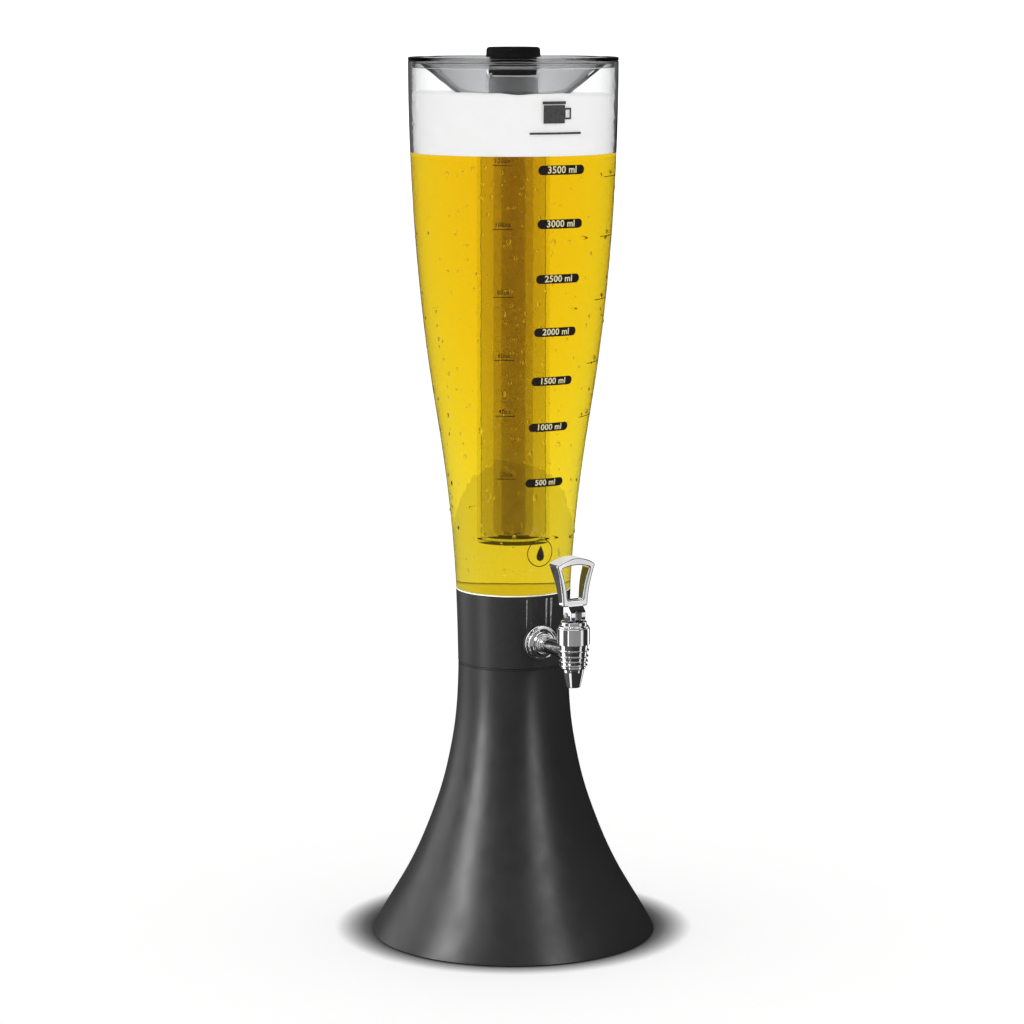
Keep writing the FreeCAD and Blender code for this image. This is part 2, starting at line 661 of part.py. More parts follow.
# ---- Lid, ice tube and cap ---------------------------------------------------
def make_lid():
    lid = turned([
        (LID_COLLAR_BORE, LID_COLLAR_END_Z, 0.5),
        (LID_COLLAR_BORE + LID_WALL, LID_COLLAR_END_Z, 0.5),
        (LID_COLLAR_BORE + LID_WALL, FUNNEL_FOOT_Z - 2.6, 1.5),
        (FUNNEL_MOUTH + 0.4, LID_FLANGE_Z - 1.6, 1.0),
        (LID_PLUG_RADIUS - LID_WALL, LID_FLANGE_Z - 1.6, 0.6),
        (LID_PLUG_RADIUS - LID_WALL, LID_PLUG_END_Z, 0.6),
        (LID_PLUG_RADIUS, LID_PLUG_END_Z, 0.8),
        (LID_PLUG_RADIUS, LID_FLANGE_Z),
        (LID_RADIUS, LID_FLANGE_Z, 0.6),
        (LID_RADIUS, LID_TOP_Z, 0.9),
        (FUNNEL_MOUTH, LID_TOP_Z, 1.5),
        (LID_COLLAR_BORE + LID_WALL, FUNNEL_FOOT_Z, 1.5),
        (LID_COLLAR_BORE + LID_WALL, LID_COLLAR_TOP_Z, 0.5),
        (LID_COLLAR_BORE, LID_COLLAR_TOP_Z, 0.5),
    ])
    vents = []
    for i in range(4):
        turn = math.pi * (2 * i + 1) / 4
        vents.append(disc(VENT_RADIUS, LID_COLLAR_END_Z, LID_TOP_Z,
                          VENT_CIRCLE * math.cos(turn), VENT_CIRCLE * math.sin(turn)))
    return lid.cut(vents)


def make_ice_tube():
    inner = TUBE_RADIUS - TUBE_WALL
    return turned([
        (inner, TUBE_END_Z),
        (TUBE_RADIUS, TUBE_END_Z),
        (TUBE_RADIUS, TUBE_TOP_Z, 0.4),
        (inner, TUBE_TOP_Z, 0.4),
    ])


def make_tube_end_cap():
    inner = TUBE_RADIUS - TUBE_WALL
    return turned([
        (0, TUBE_END_Z - 3.0),
        (TUBE_RADIUS, TUBE_END_Z - 3.0, 1.8),
        (TUBE_RADIUS, TUBE_END_Z),
        (inner, TUBE_END_Z),
        (inner, TUBE_END_Z + 5.0, 0.5),
        (inner - 2.0, TUBE_END_Z + 5.0, 0.5),
        (inner - 2.0, TUBE_END_Z - 0.5, 1.2),
        (0, TUBE_END_Z - 0.5),
    ])


def make_tube_collar():
    low = LID_COLLAR_TOP_Z + LIFT_GAP
    return turned([
        (TUBE_RADIUS, low),
        (COLLAR_RING_RADIUS, low, 0.5),
        (COLLAR_RING_RADIUS, low + COLLAR_RING_HEIGHT, 1.2),
        (TUBE_RADIUS, low + COLLAR_RING_HEIGHT),
    ])


def make_tube_cap():
    groove = CAP_SEAL_RADIUS - CAP_SEAL_SECTION
    foot = TUBE_TOP_Z + LIFT_GAP
    return turned([
        (0, CAP_TOP_Z - CAP_WALL),
        (groove - CAP_WALL, CAP_TOP_Z - CAP_WALL, 1.0),
        (groove - CAP_WALL, CAP_PLUG_END_Z, 0.5),
        (CAP_PLUG_RADIUS, CAP_PLUG_END_Z, 1.2),
        (CAP_PLUG_RADIUS, CAP_SEAL_Z - CAP_SEAL_SECTION),
        (groove, CAP_SEAL_Z - CAP_SEAL_SECTION),
        (groove, CAP_SEAL_Z + CAP_SEAL_SECTION),
        (CAP_PLUG_RADIUS, CAP_SEAL_Z + CAP_SEAL_SECTION),
        (CAP_PLUG_RADIUS, foot),
        (CAP_RADIUS, foot, 0.5),
        (CAP_RADIUS - 0.4, CAP_TOP_Z, 2.4),
        (0, CAP_TOP_Z),
    ])


# ---- Write one STEP per piece ------------------------------------------------
def main():
    os.makedirs("parts", exist_ok=True)
    pieces = {
        "base_shell": make_base_shell(),
        "foot_pads": make_foot_pads(),
        "tank": make_tank(),
        "outlet_cup": make_outlet_cup(),
        "cup_seal": o_ring(CUP_SEAL_RADIUS, CUP_SEAL_SECTION, CUP_SEAL_Z),
        "skirt_ring": o_ring(SKIRT_RING_RADIUS, SKIRT_RING_SECTION, SKIRT_RING_Z),
        "tap_body": make_tap_body(),
        "body_seal": make_body_seal(),
        "spout_nozzle": make_spout_nozzle(),
        "tap_flange": make_tap_flange(),
        "outer_gasket": make_outer_gasket(make_tank_core()),
        "inner_gasket": make_inner_gasket(),
        "lock_nut": make_lock_nut(),
        "tap_bonnet": make_tap_bonnet(),
        "stem_seal": make_stem_seal(),
        "spring_washer": make_spring_washer(),
        "stem": make_stem(),
        "seat_plug": make_seat_plug(),
        "spring": make_spring(),
        "lever_handle": make_lever_handle(),
        "lever_pin": make_lever_pin(),
        "lid": make_lid(),
        "ice_tube": make_ice_tube(),
        "tube_end_cap": make_tube_end_cap(),
        "tube_collar": make_tube_collar(),
        "tube_cap": make_tube_cap(),
        "cap_seal": o_ring(CAP_SEAL_RADIUS, CAP_SEAL_SECTION, CAP_SEAL_Z),
    }
    for name, shape in pieces.items():
        if not shape.isValid() or not shape.Solids:
            raise RuntimeError(name + " is not a valid solid")
        shape.exportStep("parts/" + name + ".step")
        print(f"{name:14s} solids {len(shape.Solids)}  volume {shape.Volume / 1000:8.2f} cm3")


main()
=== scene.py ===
import bpy
import bmesh
import json
import math
import random
from mathutils import Matrix, Vector


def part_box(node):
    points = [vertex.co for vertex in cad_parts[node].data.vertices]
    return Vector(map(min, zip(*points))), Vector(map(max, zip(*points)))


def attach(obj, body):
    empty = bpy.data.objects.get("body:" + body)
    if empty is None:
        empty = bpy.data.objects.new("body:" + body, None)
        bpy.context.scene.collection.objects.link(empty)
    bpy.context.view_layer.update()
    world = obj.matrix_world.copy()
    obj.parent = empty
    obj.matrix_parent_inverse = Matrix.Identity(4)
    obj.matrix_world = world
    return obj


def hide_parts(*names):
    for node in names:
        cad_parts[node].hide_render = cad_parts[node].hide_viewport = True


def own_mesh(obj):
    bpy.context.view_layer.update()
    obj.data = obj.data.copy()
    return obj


# Looks of a beer tap tower: materials for the CAD pieces, the drink and its foam, the
# printed scales, droplets on the tank, and a plain bright studio. Metres, same frame.

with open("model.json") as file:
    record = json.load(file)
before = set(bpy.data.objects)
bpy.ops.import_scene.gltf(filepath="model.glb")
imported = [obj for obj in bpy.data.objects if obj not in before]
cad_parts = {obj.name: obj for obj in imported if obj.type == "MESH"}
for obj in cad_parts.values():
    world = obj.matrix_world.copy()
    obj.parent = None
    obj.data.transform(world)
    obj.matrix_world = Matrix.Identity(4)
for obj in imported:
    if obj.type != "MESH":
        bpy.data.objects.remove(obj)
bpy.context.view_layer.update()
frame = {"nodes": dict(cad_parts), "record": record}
nodes = frame["nodes"]
scene = bpy.context.scene
draw = random.Random(7)

# ---- Sizes that the looks add to the frame ---------------------------------
VIEW_AZIMUTH = -28.0        # the camera stands this far round from straight in front of the tap
VIEW_PITCH = 8.707
VIEW_DISTANCE = 2.597       # from the tower's axis, level
VIEW_HEIGHT = 0.7282
LENS = 119.93
SENSOR = 36.0

BEER_TOP_Z = 0.6066
FOAM_TOP_Z = 0.651
CUP_INSIDE = 0.0354
CUP_FLOOR_TOP = 0.2232
TUBE_BORE = 0.0181
FOAM_GAP = 0.00012
SKIN_LIFT = 0.00025         # the dark neck skin stands this far off the clear wall
WALL_OVERLAP = 0.0003       # the drink reaches this far into the clear walls, so no air shows between
PRINT_LIFT = 0.00008
PRINT_THICK = 0.00005

FUNNEL_FOOT = Vector((0.0229, 0.6345))      # radius and height of the lid's cone, on its underside
FUNNEL_RIM = Vector((0.0718, 0.674))
FOAM_CLEAR = 0.0006         # the foam stays this far off the cone
ICE_BROWN = (0.58, 0.38, 0.3)
ICE_MIDDLE_RADIUS = 0.0112
ICE_CORE_RADIUS = 0.0068
RIM_HIGHLIGHT_LOW = 0.0002       # the rim's painted highlight starts this far over the cup's rim
RIM_HIGHLIGHT_DEEP = 0.0010      # and reaches this far into the wall
SPRING_WIRE = 0.00045       # wire radius
SPRING_TURNS = 5

BADGE_Z = 0.3053
EMBLEM_Z = 0.6375
RULE_Z = 0.6235
STREAK_Z = (0.2465, 0.2695)
SMALL_LETTERS = 0.0034      # height of the side scales' letters, and their drop to the line below
DROPLETS = 420
DROPLET_Z = (0.29, 0.60)

MILLILITRE_MARKS = {3500: 0.5965, 3000: 0.5566, 2500: 0.5156, 2000: 0.4756,
                    1500: 0.4383, 1000: 0.4029, 500: 0.3600}
OUNCE_MARKS = {120: 0.6036, 100: 0.5564, 80: 0.5058, 60: 0.4582, 40: 0.4154, 20: 0.3668}
PINT_MARKS = {6: 0.5933, 5: 0.5485, 4: 0.5007, 3: 0.4526, 2: 0.4114}


def nodes_with(*slots):
    """CAD objects whose material slot is one of these."""
    rows = frame["record"]["subparts"]
    return [nodes[row["node"]] for row in rows if row["material_slot"] in slots]


def wall_profile(node, outside):
    """(height, radius) pairs up the outer or inner face of a turned CAD node."""
    found = {}
    for vertex in nodes[node].data.vertices:
        radius = math.hypot(vertex.co.x, vertex.co.y)
        if radius < 1e-4:
            continue
        outward = (vertex.normal.x * vertex.co.x + vertex.normal.y * vertex.co.y) / radius
        if (outward > 0.3) == outside and abs(outward) > 0.3:
            key = round(vertex.co.z, 4)
            found.setdefault(key, []).append(radius)
    return [(z, max(r) if outside else sum(r) / len(r)) for z, r in sorted(found.items())]


def radius_at(profile, z):
    """Radius of a profile at a height, by straight interpolation."""
    if z <= profile[0][0]:
        return profile[0][1]
    for (z0, r0), (z1, r1) in zip(profile, profile[1:]):
        if z <= z1:
            return r0 + (r1 - r0) * (z - z0) / max(z1 - z0, 1e-9)
    return profile[-1][1]


tank_outside = wall_profile("tank", True)
tank_inside = wall_profile("tank", False)


# ---- Node trees ----------------------------------------------------------------
class Look:
    """A Principled material and short ways to add procedural detail to it."""

    def __init__(self, name, **values):
        self.material = bpy.data.materials.new(name)
        self.material.use_nodes = True
        self.tree = self.material.node_tree
        self.shader = self.tree.nodes["Principled BSDF"]
        self.output = self.tree.nodes["Material Output"]
        self.place = self.node("ShaderNodeTexCoord").outputs["Object"]
        for key, value in values.items():
            self.shader.inputs[key.replace("_", " ")].default_value = value

    def node(self, kind, **settings):
        made = self.tree.nodes.new(kind)
        for key, value in settings.items():
            setattr(made, key, value)
        return made

    def link(self, a, b):
        self.tree.links.new(a, b)

    def noise(self, scale, detail=4.0, stretch=(1, 1, 1), rough=0.5):
        mapping = self.node("ShaderNodeMapping")
        mapping.inputs["Scale"].default_value = stretch
        self.link(self.place, mapping.inputs["Vector"])
        noise = self.node("ShaderNodeTexNoise")
        noise.inputs["Scale"].default_value = scale
        noise.inputs["Detail"].default_value = detail
        noise.inputs["Roughness"].default_value = rough
        self.link(mapping.outputs["Vector"], noise.inputs["Vector"])
        return noise.outputs["Fac"]

    def voronoi(self, scale, feature="F1"):
        cells = self.node("ShaderNodeTexVoronoi", feature=feature)
        cells.inputs["Scale"].default_value = scale
        self.link(self.place, cells.inputs["Vector"])
        return cells.outputs["Distance"]

    def spread(self, value, low, high, into, start=0.0, end=1.0):
        """Drives a socket from low to high as value goes from start to end."""
        step = self.node("ShaderNodeMapRange")
        step.inputs["From Min"].default_value = start
        step.inputs["From Max"].default_value = end
        step.inputs["To Min"].default_value = low
        step.inputs["To Max"].default_value = high
        self.link(value, step.inputs["Value"])
        self.link(step.outputs["Result"], self.shader.inputs[into])

    def tones(self, value, dark, light, start=0.3, end=0.7):
        """Colours the surface between two tones by value."""
        ramp = self.node("ShaderNodeValToRGB")
        ramp.color_ramp.elements[0].position = start
        ramp.color_ramp.elements[0].color = (*dark, 1)
        ramp.color_ramp.elements[1].position = end
        ramp.color_ramp.elements[1].color = (*light, 1)
        self.link(value, ramp.inputs["Fac"])
        self.link(ramp.outputs["Color"], self.shader.inputs["Base Color"])

    def bump(self, value, depth, strength=1.0):
        """Raises the surface by value, on top of what is raised already."""
        rise = self.node("ShaderNodeBump")
        rise.inputs["Strength"].default_value = strength
        rise.inputs["Distance"].default_value = depth
        self.link(value, rise.inputs["Height"])
        links = self.shader.inputs["Normal"].links
        if links:
            self.link(links[0].from_socket, rise.inputs["Normal"])
        self.link(rise.outputs["Normal"], self.shader.inputs["Normal"])

    def absorb(self, color, density):
        volume = self.node("ShaderNodeVolumeAbsorption")
        volume.inputs["Color"].default_value = (*color, 1)
        volume.inputs["Density"].default_value = density
        self.link(volume.outputs["Volume"], self.output.inputs["Volume"])


# ---- Materials -------------------------------------------------------------------
def base_plastic():
    look = Look("base_moulded_grey", Roughness=0.36, IOR=1.5)
    look.tones(look.noise(9.0, 3.0), (0.013, 0.013, 0.0133), (0.017, 0.017, 0.0173))
    look.spread(look.noise(55.0, 5.0), 0.31, 0.41, "Roughness", 0.3, 0.7)
    look.bump(look.voronoi(2600.0), 0.000012, 0.35)
    look.bump(look.noise(14.0, 2.0, (1, 1, 0.25)), 0.0002, 0.12)
    return look.material


def cup_plastic():
    look = Look("cup_moulded_dark", Roughness=0.3)
    look.tones(look.noise(420.0), (0.018, 0.018, 0.0185), (0.022, 0.022, 0.0225))
    look.spread(look.noise(600.0), 0.29, 0.35, "Roughness", 0.3, 0.7)
    look.bump(look.noise(1800.0), 0.00001, 0.2)
    return look.material


def rubber(name, color, roughness=0.7):
    look = Look(name, Roughness=roughness)
    dark, light = (tuple(c * share for c in color) for share in (0.85, 1.15))
    look.tones(look.noise(120.0), dark, light)
    look.spread(look.noise(260.0), roughness - 0.1, roughness + 0.1, "Roughness", 0.3, 0.7)
    look.bump(look.noise(2400.0), 0.00003, 0.5)
    return look.material


def clear_plastic():
    look = Look("tank_clear", Base_Color=(0.95, 0.955, 0.955, 1), Transmission_Weight=1.0,
                IOR=1.3, Roughness=0.015)
    look.spread(look.noise(18.0, 5.0), 0.0, 0.03, "Roughness", 0.35, 0.8)
    look.bump(look.noise(7.0, 2.0, (1, 1, 0.2)), 0.0006, 0.06)
    look.absorb((0.5, 0.5, 0.5), 24.0)
    return look.material


def smoky_plastic(name, tint, color, density, ior):
    look = Look(name, Base_Color=(*tint, 1), Transmission_Weight=1.0, IOR=ior, Roughness=0.05)
    look.spread(look.noise(40.0, 4.0), 0.03, 0.1, "Roughness", 0.35, 0.75)
    look.bump(look.noise(11.0, 2.0), 0.0005, 0.05)
    look.absorb(color, density)
    return look.material


def chrome():
    look = Look("tap_chrome", Metallic=1.0, Roughness=0.05)
    look.tones(look.noise(70.0), (0.84, 0.84, 0.85), (0.93, 0.93, 0.94))
    look.spread(look.noise(160.0, 6.0, (1, 1, 1), 0.6), 0.02, 0.09, "Roughness", 0.35, 0.75)
    look.bump(look.noise(240.0, 3.0), 0.00003, 0.06)
    return look.material


def steel():
    look = Look("bright_steel", Metallic=1.0, Roughness=0.3)
    look.tones(look.noise(300.0, 4.0, (1, 1, 0.1)), (0.42, 0.42, 0.43), (0.62, 0.62, 0.63))
    look.spread(look.noise(500.0, 4.0, (1, 1, 0.1)), 0.2, 0.42, "Roughness", 0.3, 0.7)
    look.bump(look.noise(1500.0, 3.0, (1, 1, 0.1)), 0.00003, 0.3)
    return look.material


def cup_lining():
    # The emission is a painted glow that makes the lining shine golden through the drink.
    look = Look("cup_lining_pale_painted_glow", Roughness=0.5, Emission_Color=(0.9, 0.95, 0.6, 1), Emission_Strength=0.5)
    look.tones(look.noise(60.0), (0.70, 0.69, 0.40), (0.80, 0.79, 0.48))
    look.spread(look.noise(200.0), 0.4, 0.6, "Roughness", 0.3, 0.7)
    look.bump(look.noise(900.0), 0.00003, 0.3)
    return look.material


def rim_painted_highlight():
    # Painted highlight: a pale hoop with a faint emission glow, standing for light caught on the cup's rim.
    look = Look("rim_painted_highlight", Roughness=0.4, Emission_Color=(1.0, 0.95, 0.66, 1), Emission_Strength=0.12)
    look.tones(look.noise(120.0), (0.68, 0.646, 0.4675), (0.92, 0.874, 0.6325))
    look.spread(look.noise(260.0), 0.3, 0.5, "Roughness", 0.3, 0.7)
    look.bump(look.noise(2400.0), 0.00003, 0.5)
    return look.material


def nut_plastic():
    look = Look("nut_moulded_pale", Roughness=0.45)
    look.tones(look.noise(90.0), (0.46, 0.46, 0.45), (0.56, 0.56, 0.54))
    look.spread(look.noise(200.0), 0.38, 0.55, "Roughness", 0.3, 0.7)
    look.bump(look.noise(1300.0), 0.00003, 0.35)
    return look.material


def cap_plastic():
    look = Look("cap_moulded_black", Roughness=0.42)
    look.tones(look.noise(40.0), (0.007, 0.007, 0.007), (0.012, 0.012, 0.012))
    look.spread(look.noise(120.0), 0.34, 0.5, "Roughness", 0.3, 0.7)
    look.bump(look.voronoi(2200.0), 0.00002, 0.4)
    return look.material


def beer():
    look = Look("lager", Base_Color=(1.0, 0.99, 0.95, 1), Transmission_Weight=1.0, IOR=1.34, Roughness=0.0)
    look.spread(look.noise(25.0, 3.0), 0.0, 0.02, "Roughness", 0.35, 0.8)
    look.absorb((0.972, 0.90, 0.02), 50.0)
    return look.material


def ice(name, color, density):
    look = Look(name, Transmission_Weight=1.0, IOR=1.005, Roughness=0.02)
    look.spread(look.noise(60.0, 5.0), 0.0, 0.06, "Roughness", 0.35, 0.75)
    look.bump(look.noise(120.0, 4.0), 0.0003, 0.1)
    look.absorb(color, density)
    return look.material


def foam():
    # The emission is a painted glow that brightens the foam beyond the light reaching it through the wall.
    look = Look("beer_foam_painted_glow", Roughness=0.75, Emission_Color=(1.0, 0.99, 0.985, 1), Emission_Strength=0.33)
    look.tones(look.noise(60.0, 6.0), (0.95, 0.95, 0.94), (0.985, 0.985, 0.98))
    look.spread(look.noise(120.0), 0.6, 0.85, "Roughness", 0.3, 0.7)
    look.bump(look.voronoi(900.0, "SMOOTH_F1"), 0.0003, 0.4)
    look.bump(look.noise(220.0, 5.0), 0.0004, 0.3)
    return look.material


def ink(name, dark, light):
    look = Look(name, Roughness=0.4)
    look.tones(look.noise(600.0, 5.0), dark, light)
    look.spread(look.noise(400.0), 0.3, 0.5, "Roughness", 0.3, 0.7)
    look.bump(look.noise(3000.0), 0.00001, 0.3)
    return look.material


def droplet_water():
    look = Look("condensation", Base_Color=(1, 1, 1, 1), Transmission_Weight=1.0, IOR=1.33, Roughness=0.0)
    look.spread(look.noise(90.0), 0.0, 0.015, "Roughness", 0.3, 0.8)
    return look.material


LOOKS = {
    "base_plastic": base_plastic(),
    "foot_rubber": rubber("black_rubber", (0.022, 0.022, 0.023)),
    "clear_plastic": clear_plastic(),
    "cup_plastic": cup_plastic(),
    "seal_silicone": rubber("pale_silicone", (0.62, 0.62, 0.60), 0.5),
    "tap_chrome": chrome(),
    "nut_plastic": nut_plastic(),
    "spring_steel": steel(),
    "smoky_plastic": smoky_plastic("tube_smoky", (0.98, 0.98, 0.98), (0.2, 0.2, 0.2), 12.0, 1.008),
    "cap_plastic": cap_plastic(),
}
LID_LOOK = smoky_plastic("lid_smoky", (0.94, 0.94, 0.945), (0.10, 0.10, 0.11), 78.0, 1.1)


def paint_cad_nodes():
    slots = {row["node"]: row["material_slot"] for row in frame["record"]["subparts"]}
    for name, node in nodes.items():
        look = LID_LOOK if name in ("lid", "tube_collar") else LOOKS[slots[name]]
        for place in node.material_slots:
            place.material = look


# ---- Mesh helpers ------------------------------------------------------------------
def piece_from(name, points, faces, look, body, smooth=True):
    mesh = bpy.data.meshes.new(name)
    mesh.from_pydata([tuple(p) for p in points], [], faces)
    mesh.update()
    piece = bpy.data.objects.new(name, mesh)
    scene.collection.objects.link(piece)
    mesh.materials.append(look)
    for face in mesh.polygons:
        face.use_smooth = smooth
    if smooth:
        mesh.set_sharp_from_angle(angle=math.radians(35))
    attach(piece, body)
    return piece


def lathe(name, profile, look, body, segments=192, ripple=None):
    """Closed solid turned about the tower's axis from (radius, height) points; radius 0 closes it."""
    points, rings = [], []
    for radius, z in profile:
        if radius < 1e-6:
            rings.append([len(points)] * segments)
            points.append((0, 0, z))
            continue
        rings.append(list(range(len(points), len(points) + segments)))
        for i in range(segments):
            turn = 2 * math.pi * i / segments
            rise = ripple(radius, z, turn) if ripple else 0.0
            points.append((radius * math.cos(turn), radius * math.sin(turn), z + rise))
    faces = []
    for below, above in zip(rings, rings[1:] + rings[:1]):
        for i in range(segments):
            j = (i + 1) % segments
            corners = [below[i], below[j], above[j], above[i]]
            corners = [c for k, c in enumerate(corners) if c not in corners[:k]]
            if len(corners) > 2:
                faces.append(corners)
    return piece_from(name, points, faces, look, body)


# ---- Drink and foam -------------------------------------------------------------------
def make_beer():
    rim_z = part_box("outlet_cup")[1].z + 0.0001
    steps = 60
    profile = [(0, CUP_FLOOR_TOP), (CUP_INSIDE, CUP_FLOOR_TOP), (CUP_INSIDE, rim_z)]
    for i in range(steps + 1):
        z = rim_z + (BEER_TOP_Z - rim_z) * i / steps
        profile.append((radius_at(tank_inside, z) + WALL_OVERLAP, z))
    profile.append((0, BEER_TOP_Z))
    return lathe("beer", profile, beer(), "tank")


def ice_rod(name, radius, foot, top, look):
    """Rod of ice in the tube's bore, rounded at its foot."""
    profile = [(0, foot), (radius * 0.8, foot), (radius, foot + 0.004)]
    profile += [(radius, foot + 0.004 + (top - foot - 0.006) * i / 24) for i in range(1, 25)]
    profile += [(radius * 0.9, top), (0, top)]
    return lathe(name, profile, look, "ice_tube", 96)


def make_ice():
    """Ice that fills the tube's bore, deepest in its middle, and a dim grey fill above it under the cap."""
    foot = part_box("tube_end_cap")[1].z - 0.0035
    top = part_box("cap_seal")[0].z - 0.006
    full = TUBE_BORE + WALL_OVERLAP
    dim_fill_foot = FOAM_TOP_Z - 0.0055
    return [
        ice_rod("ice_fill", full, foot, dim_fill_foot - 0.0005, ice("ice_fill", ICE_BROWN, 15.0)),
        ice_rod("ice_middle", ICE_MIDDLE_RADIUS, foot + 0.0015, dim_fill_foot - 0.001,
                ice("ice_middle", ICE_BROWN, 13.0)),
        ice_rod("ice_core", ICE_CORE_RADIUS, foot + 0.003, dim_fill_foot - 0.0015,
                ice("ice_core", ICE_BROWN, 30.0)),
        # A dark grey fill that darkens the tube's top under the cap.
        ice_rod("dim_top_fill", full, dim_fill_foot, top, ice("dim_top_fill", (0.2, 0.2, 0.2), 48.0)),
    ]


def foam_ripple(radius, z, turn):
    """The foam stands a little higher on one side and its top is uneven."""
    if z < FOAM_TOP_Z - 0.004:
        return 0.0
    slope = 0.0011 * math.cos(turn - math.radians(200)) * radius / 0.075
    waves = 0.0005 * math.sin(5 * turn + 40 * radius) + 0.0003 * math.sin(11 * turn + 1.3)
    return slope + waves


def make_foam():
    under_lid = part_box("lid")[0].z - 0.0005
    tube_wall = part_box("tube_end_cap")[1].x - WALL_OVERLAP
    cone_slope = (FUNNEL_RIM.x - FUNNEL_FOOT.x) / (FUNNEL_RIM.y - FUNNEL_FOOT.y)
    profile = []
    steps = 16
    for i in range(steps + 1):
        z = BEER_TOP_Z + (FOAM_TOP_Z - 0.0008 - BEER_TOP_Z) * i / steps
        profile.append((radius_at(tank_inside, z) - FOAM_GAP, z))
    rim = profile[-1][0]
    cone_radius = FUNNEL_FOOT.x + (FOAM_TOP_Z - FUNNEL_FOOT.y) * cone_slope + FOAM_CLEAR
    for share in (0.97, 0.9, 0.8, 0.7, 0.6, 0.5, 0.4, 0.3, 0.2, 0.1, 0.03):
        profile.append((cone_radius + (rim - cone_radius) * share, FOAM_TOP_Z))
    profile += [
        (cone_radius - 0.001, FOAM_TOP_Z - 0.001),
        (FUNNEL_FOOT.x + FOAM_CLEAR, FUNNEL_FOOT.y),
        (FUNNEL_FOOT.x + FOAM_CLEAR, under_lid),
        (tube_wall, under_lid),
        (tube_wall, BEER_TOP_Z),
    ]
    return lathe("foam", profile, foam(), "tank", 256, foam_ripple)


# ---- Neck: the dark cup reads as one skin, because its ribs touch the clear wall -----------
def make_neck_skin():
    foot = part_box("tank")[0].z + 0.0004
    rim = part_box("outlet_cup")[1].z
    outside, inside = [], []
    for i in range(25):
        z = foot + (rim - foot) * i / 24
        radius = radius_at(tank_outside, z) + SKIN_LIFT
        outside.append((radius, z))
        inside.append((radius - 0.0005, z))
    profile = outside + [(radius - 0.0002, rim + 0.0002)] + inside[::-1]
    return lathe("neck_skin", profile, LOOKS["cup_plastic"], "tank")


def make_rim_highlight_hoop():
    """Thin pale line of painted highlight, with a faint glow, where the cup's rim meets the clear wall."""
    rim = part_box("outlet_cup")[1].z
    radius = radius_at(tank_outside, rim)
    outer, inner = radius + 0.0001, radius - RIM_HIGHLIGHT_DEEP
    profile = [(outer, rim + RIM_HIGHLIGHT_LOW), (outer, rim + 0.0010),
               (inner, rim + 0.0012), (inner, rim + RIM_HIGHLIGHT_LOW)]
    return lathe("cup_rim_highlight_hoop", profile, rim_painted_highlight(), "tank")


def make_cup_lining():
    """Pale lining of the cup and its rim, with a painted glow that shows golden through the drink."""
    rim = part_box("outlet_cup")[1].z
    wall = radius_at(tank_inside, rim) + WALL_OVERLAP
    foot = CUP_FLOOR_TOP + 0.0006
    profile = [(CUP_INSIDE + 0.0001, foot), (CUP_INSIDE + 0.0001, rim + 0.0001), (wall, rim + 0.0001),
               (wall, rim + 0.0004), (CUP_INSIDE - 0.0004, rim + 0.0004), (CUP_INSIDE - 0.0004, foot)]
    return lathe("cup_lining", profile, cup_lining(), "tank", 128)


# ---- Return spring: a fixed coil in the CAD spring's place, its head under the bonnet ------
def wire_mesh(centres, outwards, radius, sides=10):
    """Round wire through centres; each outward points away from the coil's axis."""
    points, faces = [], []
    for centre, outward in zip(centres, outwards):
        for j in range(sides):
            angle = 2 * math.pi * j / sides
            rise = Vector((0, 0, math.sin(angle)))
            points.append(centre + (outward * math.cos(angle) + rise) * radius)
    for i in range(len(centres) - 1):
        here, after = i * sides, (i + 1) * sides
        for j in range(sides):
            k = (j + 1) % sides
            faces.append((here + j, here + k, after + k, after + j))
    faces.append(tuple(reversed(range(sides))))
    faces.append(tuple((len(centres) - 1) * sides + j for j in range(sides)))
    return points, faces


def make_spring():
    low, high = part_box("spring")
    middle = (low + high) / 2
    coil = (high.x - low.x) / 2 - SPRING_WIRE
    steps = 200
    centres, outwards = [], []
    for i in range(steps + 1):
        share = i / steps
        eased = share - 0.75 * math.sin(2 * math.pi * share) / (2 * math.pi)
        turn = 2 * math.pi * SPRING_TURNS * share
        outward = Vector((math.cos(turn), math.sin(turn), 0))
        z = low.z + SPRING_WIRE + (high.z - low.z - 2 * SPRING_WIRE) * eased
        centres.append(Vector((middle.x, middle.y, z)) + outward * coil)
        outwards.append(outward)
    points, faces = wire_mesh(centres, outwards, SPRING_WIRE)
    piece = piece_from("return_spring", points, faces, LOOKS["spring_steel"], "tank")
    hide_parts("spring")
    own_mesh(piece)
    return piece


# ---- Printed scales ---------------------------------------------------------------------
def on_tank(u, v, azimuth, z):
    """Point on the tank's outer face: u metres to the right and v up from a place on it."""
    height = z + v
    radius = radius_at(tank_outside, height)
    turn = math.radians(azimuth) + u / radius
    return Vector((math.sin(turn), -math.cos(turn), 0)) * (radius + PRINT_LIFT) + Vector((0, 0, height))


def letters(text, height, bold=0.0, spacing=1.0):
    """Flat outline mesh of a line of text, centred, as (points, faces)."""
    curve = bpy.data.curves.new("letters", "FONT")
    curve.body = text
    curve.align_x = "CENTER"
    curve.align_y = "CENTER"
    curve.size = height * 1.38
    curve.offset = bold
    curve.space_character = spacing
    curve.resolution_u = 3
    holder = bpy.data.objects.new("letters", curve)
    scene.collection.objects.link(holder)
    bpy.context.view_layer.update()
    mesh = bpy.data.meshes.new_from_object(holder)
    points = [(v.co.x, v.co.y) for v in mesh.vertices]
    faces = [tuple(p.vertices) for p in mesh.polygons]
    bpy.data.objects.remove(holder)
    bpy.data.curves.remove(curve)
    bpy.data.meshes.remove(mesh)
    return points, faces


